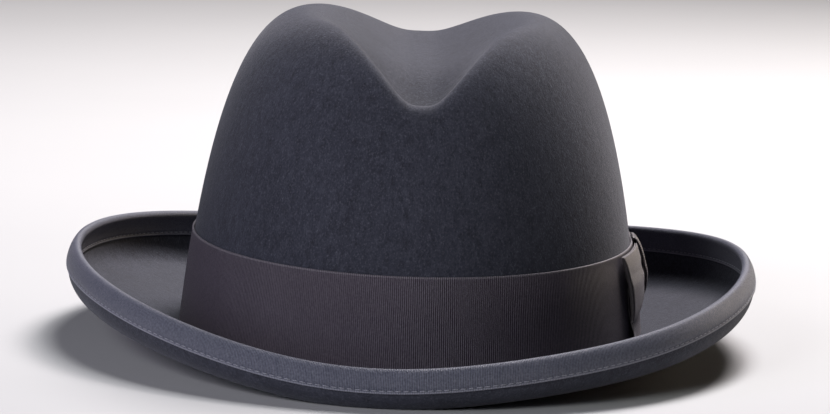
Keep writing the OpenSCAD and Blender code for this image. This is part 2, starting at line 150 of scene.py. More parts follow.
def bump_at(t, middle, width):
    """A smooth hump of height 1 round the hat, both angles in degrees."""
    away = (np.degrees(t) - middle + 180) % 360 - 180
    return np.exp(-(away/width)**2/2)


def smooth(x):
    x = np.clip(x, 0, 1)
    return x*x*(3 - 2*x)


def brim_lean(t):
    """How far the brim's rim is out of true in height."""
    return -0.0010*bump_at(t, 258, 14) + 0.0010*bump_at(t, 292, 14) + 0.0003*np.sin(5*t + 1)


def break_z(t):
    """Height of the line where the brim leaves the crown."""
    return BREAK_H + BREAK_SADDLE*np.cos(2*t)


def crown_foot(t, off=0.0):
    """The crown's outline at its foot, off inside the outer face."""
    return np.stack([(CROWN_HALF_W - off)*np.cos(t), (CROWN_HALF_L - off)*np.sin(t)], -1)


def brim_edge(t):
    return np.stack([BRIM_HALF_W*np.cos(t), BRIM_HALF_L*np.sin(t)], -1)


def brim_span(t):
    return np.linalg.norm(brim_edge(t) - crown_foot(t), axis=-1)


def outward(t):
    return (brim_edge(t) - crown_foot(t))/brim_span(t)[..., None]


def rise(t):
    """The brim's slope at the break."""
    return BRIM_RISE + BRIM_RISE_SIDE*np.cos(2*t)


def turn(t):
    """The brim's slope at its edge, at the end of the curl."""
    return CURL_TURN + CURL_TURN_SIDE*np.cos(2*t)


def radius(t):
    """The curl's radius."""
    return CURL_R + CURL_R_BACK*np.sin(t)


def run(t):
    """Length of the straight part of the brim, from the break to the curl."""
    return (brim_span(t) - radius(t)*(np.sin(turn(t)) - np.sin(rise(t))))/np.cos(rise(t))


def brim_at(t, u, off=0.0, past=0.0):
    """A point of the brim: u is 0 at the break, 1 where the curl starts and 2 at the edge."""
    a = rise(t) + np.maximum(u - 1, 0)*(turn(t) - rise(t))
    length = np.minimum(u, 1)*run(t)
    d = length*np.cos(rise(t)) + radius(t)*(np.sin(a) - np.sin(rise(t))) - off*np.sin(a) + past*np.cos(a)
    z = (length*np.sin(rise(t)) + radius(t)*(np.cos(rise(t)) - np.cos(a)) + off*np.cos(a) + past*np.sin(a)
         + brim_lean(t)*smooth(u))
    return np.concatenate([crown_foot(t) + outward(t)*d[..., None], (break_z(t) + z)[..., None]], -1)


def from_edge(t, d, off):
    """The u of the point of the curl that is the length d from the edge, on the layer at off."""
    return 2 - d/(radius(t) - off)/(turn(t) - rise(t))


def edge_at(t, g, half):
    """Round the felt's edge: g goes from a quarter turn below on the outer side to one above."""
    return brim_at(t, 2.0, half*np.sin(g), half*np.cos(g))


def soft_min(a, b, soft):
    """The lower of two heights, rounded off by about soft where they cross."""
    low = np.minimum(a, b)
    return low - soft*np.log(np.exp((low - a)/soft) + np.exp((low - b)/soft))


def passing(y, back, front):
    """A value of the dent at y, from its values at the back and at the front."""
    return back + (front - back)/(1 + np.exp((y - DENT_PASS_Y)/DENT_PASS_RUN))


def trough(p, off):
    """Height of the dent's trough over the point p, for the layer at off inside the outer face."""
    x, y = p[..., 0], p[..., 1]
    steep = passing(y, DENT_STEEPNESS, DENT_STEEPNESS_FRONT)
    rounding = passing(y, DENT_ROUND, DENT_ROUND_FRONT)
    aside = np.abs(x - DENT_ASIDE)
    root = (aside**DENT_FLAT + rounding**DENT_FLAT)**(1/DENT_FLAT)
    slope = steep*(aside/root)**(DENT_FLAT - 1)
    away = (y - HOLLOW_Y)/HOLLOW_RUN
    hollow = HOLLOW_DEPTH*np.exp(-away**2/2)
    slope_along = DENT_CLIMB + hollow*away/HOLLOW_RUN
    return (BREAK_H + DENT_FLOOR + DENT_CLIMB*y + steep*(root - rounding) - hollow
            - off*np.sqrt(1 + slope**2 + slope_along**2))


def crown_point(t, s, q, off):
    """A point of the crown at the share s of its height and q of its outline, cut by the trough."""
    s, q = np.broadcast_to(s, t.shape), np.broadcast_to(q, t.shape)
    p = crown_foot(t, off)*(q*(1 - CROWN_TAPER*s))[..., None]
    soft = passing(p[..., 1], RIDGE_SOFT, RIDGE_SOFT_FRONT)
    z = soft_min(BREAK_H + (CROWN_H - off)*s, trough(p, off), soft)
    return np.concatenate([p, z[..., None]], -1)


def top_at(t, q, off=0.0):
    """A point of the crown's top, at the share q of the way out from its middle."""
    return crown_point(t, (1 - q**SHOULDER_SQUARE)**(1/SHOULDER_RISE), q, off)


def shoulder_at(t, a, off=0.0):
    """A point of the crown's shoulder: a is 0 at the middle of the top and a quarter turn at the foot."""
    return crown_point(t, np.cos(a)**(2/SHOULDER_RISE), np.sin(a)**(2/SHOULDER_SQUARE), off)


def wall_at(t, z, off=0.0):
    """A point of the crown's wall at the height z, off inward from the outer face."""
    s = np.maximum(0, z - BREAK_H)/(CROWN_H - off)
    q = (1 - s**SHOULDER_RISE)**(1/SHOULDER_SQUARE)
    p = crown_foot(t, off)*(q*(1 - CROWN_TAPER*s))[..., None]
    return np.concatenate([p, np.broadcast_to(z, t.shape)[..., None]], -1)


def corner_z(t):
    return break_z(t) + FELT_HALF/np.cos(rise(t))


def band_foot_z(t):
    return corner_z(t) + WALL_FOOT


def band_top_z(t):
    return BREAK_H + BAND_H + BAND_H_BACK*np.sin(t)


def band_z(t, v):
    return band_foot_z(t) + v*(band_top_z(t) - band_foot_z(t))


def rounded(a, b, c, v):
    """A point on a curve that rounds the corner b between a and c."""
    return (1 - v)**2*a + 2*v*(1 - v)*b + v*v*c


# ---- Meshes ----

def make_piece(name, points, faces, uv, material, node):
    """A smooth mesh object that stands for the CAD node. uv has one row for each corner of each face."""
    mesh = bpy.data.meshes.new(name)
    sizes = np.array([len(f) for f in faces]) if isinstance(faces, list) else np.full(len(faces), 4)
    corners = np.concatenate(faces) if isinstance(faces, list) else faces.ravel()
    mesh.vertices.add(len(points))
    mesh.vertices.foreach_set("co", np.ascontiguousarray(points, np.float32).ravel())
    mesh.loops.add(len(corners))
    mesh.loops.foreach_set("vertex_index", corners.astype(np.int32))
    mesh.polygons.add(len(sizes))
    mesh.polygons.foreach_set("loop_start", (np.cumsum(sizes) - sizes).astype(np.int32))
    mesh.update(calc_edges=True)
    layer = mesh.uv_layers.new(name="UVMap")
    layer.data.foreach_set("uv", np.ascontiguousarray(uv, np.float32).ravel())
    mesh.polygons.foreach_set("use_smooth", np.ones(len(sizes), bool))
    mesh.validate()
    mesh.materials.append(material)
    piece = bpy.data.objects.new(name, mesh)
    bpy.context.scene.collection.objects.link(piece)
    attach(piece, "root")
    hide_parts(node)
    return piece


def grid_faces(m, n, close_rows, close_columns):
    """Quads of a grid of m rows and n columns, and the grid place of each of their corners, unwrapped."""
    i, j = np.meshgrid(np.arange(m - (not close_rows)), np.arange(n - (not close_columns)), indexing="ij")
    i, j = i.ravel(), j.ravel()
    rows = np.stack([i, i, i + 1, i + 1], 1)
    columns = np.stack([j, j + 1, j + 1, j], 1)
    return (rows % m)*n + columns % n, rows, columns


def ring_piece(name, rows, across, lengths, material, node, ends=None):
    """A closed ring or tube from rows of points round the hat. across holds each row's place across the
    cloth, with one more for the way back to the first row, and lengths each column's, with one more.
    With ends, two points close the body instead, and across has one entry for each row."""
    points = np.stack(rows)
    m, n = points.shape[:2]
    faces, row, column = grid_faces(m, n, ends is None, True)
    uv = np.stack([np.asarray(lengths)[column], np.asarray(across)[row]], -1).reshape(-1, 2)
    points = points.reshape(-1, 3)
    if ends is None:
        return make_piece(name, points, faces, uv, material, node)
    first, last = len(points), len(points) + 1
    j = np.arange(n)
    near = np.stack([np.full(n, first), (j + 1) % n, j], 1)
    far = np.stack([np.full(n, last), (m - 1)*n + j, (m - 1)*n + (j + 1) % n], 1)
    tips = np.zeros((6*n, 2))
    points = np.concatenate([points, np.array(ends)])
    return make_piece(name, points, list(faces) + list(near) + list(far), np.concatenate([uv, tips]),
                      material, node)


def capped_piece(name, rows, across, lengths, material, node):
    """A tube along its rows with a flat cap at each end. across and lengths are as for ring_piece, but
    lengths has one entry for each column."""
    points = np.stack(rows)
    m, n = points.shape[:2]
    faces, row, column = grid_faces(m, n, True, False)
    uv = np.stack([np.asarray(lengths)[column], np.asarray(across)[row]], -1).reshape(-1, 2)
    uv = np.concatenate([uv, np.zeros((2*m, 2))])
    caps = [np.arange(m)[::-1]*n, np.arange(m)*n + n - 1]
    return make_piece(name, points.reshape(-1, 3), list(faces) + caps, uv, material, node)


def cloth_profile(v0, v1, back, face, rows, height, bead):
    """The section of a ribbon as (share across, distance off) from one edge over its face to the other and
    back behind, with round edges. height is what a share of 1 measures, and bead a thicker selvedge."""
    middle, half = (back + face)/2, (face - back)/2
    edge = half/height
    shares = np.linspace(v0 + edge, v1 - edge, rows)
    near = np.minimum(shares - v0, v1 - shares)*height
    bead_w = 0.0006
    lift = bead*np.exp(-(near/bead_w)**2)
    front = [(v, face + add) for v, add in zip(shares, lift)]
    rounds = [(edge*math.cos(a), middle + (half + bead/2)*math.sin(a) + bead/2) for a in EDGE_ANGLES]
    high = [(v1 - edge + out, off) for out, off in rounds]
    low = [(v0 + edge - out, off) for out, off in rounds[::-1]]
    behind = [(v, back) for v in shares[::-1]]
    return front + high + behind + low


def tubes(middles, normals, thread_r, sides):
    """Points of many short threads at once. middles and normals are (threads, steps, 3), and each thread
    tapers into the cloth at both ends."""
    along = np.gradient(middles, axis=1)
    side = np.cross(along, normals)
    side /= np.linalg.norm(side, axis=-1, keepdims=True)
    steps = middles.shape[1]
    taper = thread_r*np.sqrt(np.clip(1 - np.linspace(-0.97, 0.97, steps)**4, 0, 1))[None, :, None, None]
    a = np.arange(sides)*TURN/sides
    ring = (normals[:, :, None]*np.cos(a)[:, None] + side[:, :, None]*np.sin(a)[:, None])*taper
    return middles[:, :, None] + ring


def thread_piece(name, middles, normals, thread_r, material, node):
    """Many short separate threads in one object."""
    rings = tubes(middles, normals, thread_r, 6)
    count, steps, sides = rings.shape[:3]
    faces, row, column = grid_faces(steps, sides, False, True)
    start = np.arange(count)[:, None, None]*steps*sides
    body = (faces[None] + start).reshape(-1, 4)
    cap = np.arange(sides)
    first = cap[::-1][None] + np.arange(count)[:, None]*steps*sides
    last = (steps - 1)*sides + cap[None] + np.arange(count)[:, None]*steps*sides
    uv = np.stack([row/steps, column/sides], -1).reshape(-1, 2)
    uv = np.concatenate([np.tile(uv, (count, 1)), np.zeros((2*count*sides, 2))])
    faces = list(body) + list(first) + list(last)
    return make_piece(name, rings.reshape(-1, 3), faces, uv, material, node)


def stitches_round(name, count, reach, sag, surface, thread_r, material, node):
    """A row of separate stitches round the hat. Each spans the share 2*reach of the pitch and is higher by
    sag in its middle. surface(t, lift, out) is the point lift over the cloth and out further."""
    s = np.linspace(-1, 1, STITCH_STEPS)
    t = ((np.arange(count)[:, None] + 0.5 + reach*s[None, :])*TURN/count).ravel()
    lift = np.tile(sag*(1 - s**2), count)
    middles = surface(t, lift, 0)
    normals = surface(t, lift, 0.001) - middles
    normals /= np.linalg.norm(normals, axis=-1, keepdims=True)
    shape = (count, STITCH_STEPS, 3)
    thread_piece(name, middles.reshape(shape), normals.reshape(shape), thread_r, material, node)


def ring_length(points):
    return float(np.linalg.norm(points - np.roll(points, 1, 0), axis=1).sum())


# ---- Materials ----

class Surface:
    """One new material, with short ways to add nodes to it."""

    def __init__(self, name):
        self.material = bpy.data.materials.new(name)
        self.material.use_nodes = True
        self.tree = self.material.node_tree
        self.shader = self.tree.nodes["Principled BSDF"]

    def put(self, socket, value):
        if isinstance(value, bpy.types.NodeSocket):
            self.tree.links.new(value, socket)
        else:
            socket.default_value = value

    def set(self, **values):
        for name, value in values.items():
            self.put(self.shader.inputs[name.replace("_", " ")], value)

    def place(self, kind="Object"):
        return self.tree.nodes.new("ShaderNodeTexCoord").outputs[kind]

    def stretched(self, vector, scale):
        node = self.tree.nodes.new("ShaderNodeMapping")
        self.put(node.inputs["Vector"], vector)
        node.inputs["Scale"].default_value = scale
        return node.outputs[0]

    def noise(self, vector, scale, detail=3.0, roughness=0.5):
        node = self.tree.nodes.new("ShaderNodeTexNoise")
        self.put(node.inputs["Vector"], vector)
        node.inputs["Scale"].default_value = scale
        node.inputs["Detail"].default_value = detail
        node.inputs["Roughness"].default_value = roughness
        return node.outputs[0]

    def cells(self, vector, scale):
        node = self.tree.nodes.new("ShaderNodeTexVoronoi")
        self.put(node.inputs["Vector"], vector)
        node.inputs["Scale"].default_value = scale
        return node.outputs["Distance"]

    def math(self, operation, *values):
        node = self.tree.nodes.new("ShaderNodeMath")
        node.operation = operation
        for socket, value in zip(node.inputs, values):
            self.put(socket, value)
        return node.outputs[0]

    def wave(self, value, pitch):
        return self.math("SINE", self.math("MULTIPLY", value, TURN/pitch))

    def remap(self, value, low, high, new_low=0.0, new_high=1.0):
        node = self.tree.nodes.new("ShaderNodeMapRange")
        for socket, item in zip(node.inputs, (value, low, high, new_low, new_high)):
            self.put(socket, item)
        return node.outputs[0]

    def blend(self, share, a, b):
        node = self.tree.nodes.new("ShaderNodeMix")
        node.data_type = "RGBA"
        self.put(node.inputs[0], share)
        self.put(node.inputs[6], a if isinstance(a, bpy.types.NodeSocket) else (*a, 1))
        self.put(node.inputs[7], b if isinstance(b, bpy.types.NodeSocket) else (*b, 1))
        return node.outputs[2]

    def split(self, vector):
        node = self.tree.nodes.new("ShaderNodeSeparateXYZ")
        self.put(node.inputs[0], vector)
        return node.outputs

    def bump(self, height, distance, strength, normal=None):
        node = self.tree.nodes.new("ShaderNodeBump")
        self.put(node.inputs["Height"], height)
        node.inputs["Distance"].default_value = distance
        node.inputs["Strength"].default_value = strength
        if normal is not None:
            self.put(node.inputs["Normal"], normal)
        return node.outputs[0]


def felt_material():
    """Fur felt: mottled slate colour, a fine speckle of light and dark fibre ends, and a soft short nap."""
    m = Surface("fur_felt")
    place = m.place()
    mottle = m.noise(place, 35, 4, 0.6)
    brushed = m.noise(m.stretched(place, (1, 1, 0.4)), 480, 3, 0.65)
    fibres = m.noise(m.stretched(place, (1, 1, 0.7)), 1500, 3, 0.7)
    colour = m.blend(m.remap(mottle, 0.3, 0.7), (0.0205, 0.0218, 0.0315), (0.0295, 0.0310, 0.0435))
    colour = m.blend(m.remap(brushed, 0.5, 0.75, 0, 0.5), colour, (0.048, 0.049, 0.064))
    colour = m.blend(m.remap(brushed, 0.48, 0.3, 0, 0.6), colour, (0.012, 0.012, 0.017))
    colour = m.blend(m.remap(fibres, 0.54, 0.74, 0, 0.75), colour, (0.082, 0.082, 0.102))
    colour = m.blend(m.remap(fibres, 0.46, 0.3, 0, 0.75), colour, (0.008, 0.008, 0.012))
    nap = m.bump(m.noise(place, 260, 3, 0.6), 0.0003, 0.45)
    nap = m.bump(fibres, 0.00022, 0.65, nap)
    m.set(Base_Color=colour, Roughness=0.85, Normal=nap)
    m.set(Specular_IOR_Level=0.22, Sheen_Weight=0.12, Sheen_Roughness=0.45,
          Sheen_Tint=(0.85, 0.85, 0.92, 1))
    return m.material


def grosgrain_material(name, dark, light, speckle_and_edge_highlight, height, gloss=0.55, edge_w=0.0007, sheen=0.2,
                      rib_depth=0.0001):
    """Ribbed ribbon. Its colour holds painted shade, lighter on the ribs' crests and darker in their
    valleys and between the picks. UV x counts ribs along the ribbon, and UV y is the distance across it,
    with height the ribbon's whole width, so that both selvedges show a painted highlight, a lighter line of
    small dashes."""
    m = Surface(name)
    uv = m.place("UV")
    x, y, _ = m.split(uv)
    wander = m.noise(m.place(), 90, 2)
    phase = m.math("ADD", x, m.remap(wander, 0, 1, -0.35, 0.35))
    rib = m.math("COSINE", m.math("MULTIPLY", phase, TURN))
    rib = m.remap(rib, -1, 1)
    picks = m.wave(y, PICK)
    # Painted shade: the ribs' crests are coloured lighter, their valleys and the picks between them darker
    weave = m.math("MULTIPLY", rib, m.remap(picks, -1, 1, 0.75, 1.0))
    speckle = m.noise(m.place(), 1300, 2, 0.6)
    colour = m.blend(weave, dark, light)
    colour = m.blend(m.remap(speckle, 0.35, 0.75, 0, 0.35), colour, speckle_and_edge_highlight)
    clouds = m.noise(m.place(), 28, 3)
    colour = m.blend(m.remap(clouds, 0.35, 0.7, 0, 0.22), colour, dark)
    # Painted highlight: both selvedges are coloured lighter, as small dashes on the ribs' crests
    low = m.math("LESS_THAN", y, edge_w)
    high = m.math("GREATER_THAN", y, height - edge_w)
    edge_highlight_dash = m.remap(rib, 0.2, 0.8, 0.35, 0.85)
    colour = m.blend(m.math("MULTIPLY", m.math("ADD", low, high), edge_highlight_dash), colour, speckle_and_edge_highlight)
    relief = m.bump(rib, rib_depth, 0.7)
    relief = m.bump(m.math("ADD", picks, speckle), 0.00003, 0.5, relief)
    m.set(Base_Color=colour, Roughness=gloss, Normal=relief)
    m.set(Specular_IOR_Level=0.35, Sheen_Weight=sheen, Sheen_Roughness=0.35,
          Sheen_Tint=(0.85, 0.82, 0.90, 1))
    return m.material


def thread_material(name, dark, light):
    """Twisted sewing thread."""
    m = Surface(name)
    x, y, _ = m.split(m.place("UV"))
    twist = m.wave(m.math("ADD", m.math("MULTIPLY", x, 4.0), y), 1)
    fuzz = m.noise(m.place(), 2500, 2)
    m.set(Base_Color=m.blend(m.remap(m.math("ADD", twist, fuzz), -1, 2), dark, light), Roughness=0.6,
          Normal=m.bump(twist, 0.00005, 0.6))
    m.set(Sheen_Weight=0.2, Sheen_Roughness=0.4)
    return m.material


def leather_material():
    """Smooth dressed leather with a fine grain, darker towards its lower edge, and more worn in patches."""
    m = Surface("sweatband_leather")
    place = m.place()
    _, y, _ = m.split(m.place("UV"))
    tone = m.noise(place, 30, 4, 0.6)
    grain = m.cells(place, 900)
    colour = m.blend(m.remap(tone, 0.3, 0.7), (0.115, 0.052, 0.026), (0.19, 0.092, 0.048))
    # Darker towards the leather's lower edge
    colour = m.blend(m.remap(y, 0.0, 0.022, 0.55, 0.0), colour, (0.07, 0.032, 0.018))
    colour = m.blend(m.remap(grain, 0.0, 0.25, 0.5, 0.0), colour, (0.06, 0.027, 0.014))
    wear = m.remap(m.noise(place, 60, 3), 0.3, 0.7, 0.32, 0.5)
    relief = m.bump(grain, 0.0001, 0.4)
    relief = m.bump(m.noise(place, 220, 3), 0.0002, 0.3, relief)
    m.set(Base_Color=colour, Roughness=wear, Normal=relief)
    m.set(Specular_IOR_Level=0.5)
    return m.material


def woven_material(name, dark, light):
    """Plain woven tape."""
    m = Surface(name)
    x, y, _ = m.split(m.place("UV"))
    pitch = 0.0005
    weave = m.math("MULTIPLY", m.wave(x, pitch), m.wave(y, pitch))
    colour = m.blend(m.remap(weave, -1, 1), dark, light)
    m.set(Base_Color=colour, Roughness=0.8, Normal=m.bump(weave, 0.0001, 0.7))
    m.set(Sheen_Weight=0.25, Sheen_Roughness=0.5)
    return m.material


def satin_material(name, dark, light):
    """Satin: a smooth long-float weave with fine threads and a directional gloss."""
    m = Surface(name)
    place = m.place()
    threads = m.noise(m.stretched(m.place("UV"), (1, 0.04, 1)), 2600, 2, 0.5)
    folds = m.noise(place, 45, 3)
    colour = m.blend(m.remap(threads, 0.3, 0.7), dark, light)
    colour = m.blend(m.remap(folds, 0.35, 0.7, 0, 0.3), colour, dark)
    relief = m.bump(threads, 0.00004, 0.6)
    relief = m.bump(folds, 0.0006, 0.35, relief)
    m.set(Base_Color=colour, Roughness=0.33, Normal=relief)
    m.set(Specular_IOR_Level=0.6, Anisotropic=0.4, Sheen_Weight=0.15, Sheen_Roughness=0.3)
    return m.material


def film_material():
    """Clear flexible film."""
    m = Surface("shield_film")
    place = m.place()
    haze = m.noise(place, 60, 3)
    m.set(Base_Color=(0.90, 0.92, 0.94, 1), Roughness=m.remap(haze, 0.3, 0.7, 0.05, 0.16),
          Normal=m.bump(haze, 0.0006, 0.2))
    m.set(Transmission_Weight=0.0, Alpha=0.16, Specular_IOR_Level=0.9, Coat_Weight=0.6, Coat_Roughness=0.05)
    return m.material


def paper_material():
    """Thin yellowish card with fibres and blots."""
    m = Surface("ticket_paper")
    place = m.place()
    fibres = m.noise(m.stretched(place, (1, 1, 3)), 900, 3, 0.6)
    blots = m.noise(place, 120, 3)
    colour = m.blend(m.remap(blots, 0.3, 0.7), (0.62, 0.56, 0.44), (0.74, 0.69, 0.58))
    colour = m.blend(m.remap(fibres, 0.5, 0.8, 0, 0.5), colour, (0.5, 0.44, 0.33))
    m.set(Base_Color=colour, Roughness=0.85, Normal=m.bump(fibres, 0.00006, 0.5))
    return m.material


def reed_material():
    """Extruded plastic cord, with fine lines along it."""
    m = Surface("reed_plastic")
    lines = m.noise(m.stretched(m.place(), (1, 1, 12)), 300, 2)
    colour = m.blend(m.remap(lines, 0.3, 0.7), (0.55, 0.52, 0.45), (0.68, 0.65, 0.58))
    m.set(Base_Color=colour, Roughness=0.42, Normal=m.bump(lines, 0.00005, 0.3))
    return m.material


def floor_material():
    m = Surface("floor")
    grain = m.noise(m.place(), 6, 3)
    m.set(Base_Color=m.blend(grain, (0.44, 0.44, 0.44), (0.46, 0.46, 0.46)), Roughness=0.9)
    m.set(Specular_IOR_Level=0.1)
    return m.material


# ---- Felt ----

def lifted(points):
    """The brim's underside is pressed flat where it rests."""
    points = points.copy()
    points[..., 2] = np.maximum(points[..., 2], 0)
    return points


def under_corner(t):
    """Where the inner face of the crown and the underside of the brim would meet without the bend."""
    z = break_z(t) - FELT_HALF/np.cos(rise(t)) - FELT_T*np.tan(rise(t))
    return np.concatenate([crown_foot(t, FELT_T), z[:, None]], -1)


def felt_body():
    t = DIRECTIONS
    foot = wall_at(t, band_foot_z(t))
    wall_top = shoulder_at(t, np.radians(SHOULDER_END))[:, 2]
    corner = np.concatenate([crown_foot(t), corner_z(t)[:, None]], -1)
    out = [top_at(t, q) for q in np.linspace(0.012, 0.63, 44)]
    out += [shoulder_at(t, a) for a in np.radians(np.linspace(15.8, SHOULDER_END, 60))]
    out += [wall_at(t, foot[:, 2] + v*(wall_top - foot[:, 2])) for v in np.linspace(0.98, 0, 44)]
    brim_start = brim_at(t, WALL_FOOT/run(t), FELT_HALF)
    out += [rounded(foot, corner, brim_start, v) for v in (0.2, 0.4, 0.6, 0.8, 1)]
    out += [brim_at(t, u, FELT_HALF) for u in np.linspace(0.1, 0.97, 24)]
    out += [brim_at(t, u, FELT_HALF) for u in np.linspace(1, 2, 30)]
    out += [edge_at(t, g, FELT_HALF) for g in EDGE_ANGLES]
    out += [lifted(brim_at(t, u, -FELT_HALF)) for u in np.linspace(2, 1, 26)]
    out += [lifted(brim_at(t, u, -FELT_HALF)) for u in np.linspace(0.95, 0.25, 14)]
    start = brim_at(t, (INNER_FOOT - FELT_T)/run(t), -FELT_HALF)
    bend = under_corner(t)
    end = wall_at(t, bend[:, 2] + INNER_FOOT, FELT_T)
    out += [lifted(rounded(start, bend, end, v)) for v in (0, 0.25, 0.5, 0.75)]
    inner_top = shoulder_at(t, np.radians(SHOULDER_END), FELT_T)[:, 2]
    out += [wall_at(t, foot[:, 2] + v*(inner_top - foot[:, 2]), FELT_T) for v in np.linspace(0, 0.95, 20)]
    out += [shoulder_at(t, a, FELT_T) for a in np.radians(np.linspace(SHOULDER_END, 16, 24))]
    out += [top_at(t, q, FELT_T) for q in np.linspace(0.6, 0.05, 14)]
    across = np.linspace(0, 0.4, len(out))
    lengths = np.linspace(0, 0.8, AROUND + 1)
    pole = np.zeros(1)
    ends = [top_at(pole, 0.0)[0], top_at(pole, 0.0, FELT_T)[0]]
    return ring_piece("felt", out, across, lengths, felt_material(), "felt_body", ends)


# ---- Brim binding ----

BINDING_INNER = FELT_HALF + GAP
BINDING_OUTER = BINDING_INNER + BINDING_T


def pucker(d):
    """How far the stitches pull the binding in at the distance d from the brim's edge."""
    depth, width = 0.00022, 0.0006
    return depth*np.exp(-((d - BINDING_STITCH_D)/width)**2)


def binding_layer(t, half, pulled):
    """Rows from the outer lower edge of the binding round the felt's edge to its inner lower edge, and
    their places across the ribbon."""
    rows, across = [], []
    distances = np.linspace(BINDING_W, 0.0004, 24)
    for d in distances:
        off = -(half - pulled*pucker(d))
        rows.append(brim_at(t, from_edge(t, d, off), off))
        across.append(BINDING_W - d)
    turn_length = math.pi*half
    for g in np.linspace(-75, 75, 9):
        rows.append(edge_at(t, math.radians(g), half))
        across.append(BINDING_W + turn_length*(g + 90)/180)
    for d in distances[::-1]:
        off = half - pulled*pucker(d)
        rows.append(brim_at(t, from_edge(t, d, off), off))
        across.append(BINDING_W + turn_length + d)
    return rows, across


def brim_binding():
    count = 2*AROUND
    t = np.arange(count)*TURN/count
    face, across = binding_layer(t, BINDING_OUTER, 1)
    back, _ = binding_layer(t, BINDING_INNER, 0)
    rows = face + back[::-1]
    length = ring_length(brim_at(t, 1.9))
    ribs = round(length/BINDING_RIB)
    places = across + across[::-1] + [across[0]]
    material = grosgrain_material("binding_ribbon", (0.024, 0.026, 0.040), (0.094, 0.099, 0.138),
                                  (0.23, 0.23, 0.27), across[-1], gloss=0.5, edge_w=0.0006, sheen=0.1,
                                  rib_depth=0.0002)
    piece = ring_piece("binding", rows, places, np.linspace(0, ribs, count + 1), material,
                       "brim_binding")
    return length


def binding_stitches(name, node, side, length, material):
    """One row of separate stitches, on the outer side of the binding for -1 and the inner for 1."""
    dip = pucker(BINDING_STITCH_D)

    def surface(t, lift, out):
        off = side*(BINDING_OUTER - dip + 0.00005 + lift)
        return brim_at(t, from_edge(t, BINDING_STITCH_D, off), off + side*out)

    stitches_round(name, round(length/STITCH), 0.36, 0.00010, surface, STITCH_THREAD_R, material, node)


# ---- Band ----

def hat_band():
    t = DIRECTIONS
    height = float(np.mean(band_top_z(t) - band_foot_z(t)))
    profile = cloth_profile(0, 1, GAP, BAND_FACE, 30, height, bead=0.00018)
    rows = [wall_at(t, band_z(t, v), -o) for v, o in profile]
    places = [v*height for v, _ in profile]
    length = ring_length(wall_at(t, band_z(t, 0.5), -BAND_FACE))
    ribs = round(length/BAND_RIB)
    material = grosgrain_material("band_ribbon", (0.016, 0.012, 0.018), (0.078, 0.060, 0.082),
                                  (0.15, 0.135, 0.15), height, sheen=0.08, rib_depth=0.00025)
    piece = ring_piece("band", rows, places + places[:1], np.linspace(0, ribs, AROUND + 1), material,
                       "hat_band")


def band_tacks():
    """Pairs of crossed tacks over the band's upper edge, round the back."""
    s = np.linspace(-1, 1, STITCH_STEPS)
    middles, normals = [], []
    for degrees in (35, 75, 105, 145):
        for lean in (-1, 1):
            t = math.radians(degrees) + lean*0.003*s
            z = band_top_z(t) + 0.0009*s
            off = -(BAND_FACE + 0.00025 + 0.0001*(1 - s**2))
            middles.append(wall_at(t, z, off))
            flat = np.stack([np.cos(t)/CROWN_HALF_W, np.sin(t)/CROWN_HALF_L, np.zeros(STITCH_STEPS)], -1)
            normals.append(flat/np.linalg.norm(flat, axis=-1, keepdims=True))
    material = thread_material("tack_thread", (0.028, 0.024, 0.03), (0.06, 0.05, 0.062))
    thread_piece("tacks", np.array(middles), np.array(normals), TACK_THREAD_R, material,
                 "band_tacks")


# ---- Bow ----
# e is the length round the band from the bow's middle, plus towards the back, v the share of the band's
# height, and o the distance outward from the band's face.

BOW_LAYER = 0.00015
PINCH_H = 2*BOW_T + BOW_LAYER
KNOT_OVER = 0.00035
BOW_BAND_H = 0.0359
BOW_RIBBON_W = 0.0262
TAIL_LOW = 0.02
TAIL_HIGH = 0.62
LOOP_LOW_FOLD = 0.26
LOOP_LOW_KNOT = 0.44
LOOP_HIGH = 0.975
KNOT_HIGH = 1.03


def bow_at(e, v, o):
    t = np.asarray(e, float)/CROWN_HALF_L
    return wall_at(t, band_z(t, v), -BAND_FACE - o)


def dome(s):
    """A full soft hump of height 1 over shares from 0 to 1."""
    return np.maximum(0, 1 - (2*s - 1)**2)**0.6


def knot_back_o(v):
    """The knot's back and the loops lie over the tails, and sink to the band above them."""
    return BOW_LAYER + (BOW_T + BOW_LAYER)*smooth((TAIL_HIGH + 0.16 - v)/0.14)


def loops_o(v):
    return knot_back_o(v) + BOW_T + BOW_LAYER


def bow_material():
    # Painted light: the bow's ribbon is coloured lighter than the band's ribbon, for the lit faces of its
    # loops
    return grosgrain_material("bow_ribbon", (0.034, 0.029, 0.032), (0.082, 0.069, 0.073),
                              (0.19, 0.17, 0.175), BOW_RIBBON_W, gloss=0.5, edge_w=0.0006, sheen=0.15)


def loop_v(share, s):
    """The loops narrow towards the knot, from below."""
    low = LOOP_LOW_KNOT + (LOOP_LOW_FOLD - LOOP_LOW_KNOT)*np.abs(share)
    return low + s*(LOOP_HIGH - low)


def from_knot(e, half_l):
    """The share of the way from the knot's edge to the end of the loop."""
    return np.clip((np.abs(e) - KNOT_W/2)/(half_l - KNOT_W/2), 0, 1)


def loop_puff(e, half_l):
    """The loops stand out quickly beside the knot and flatten towards their ends."""
    x = from_knot(e, half_l)
    return x**0.2*(1 - 0.45*x)


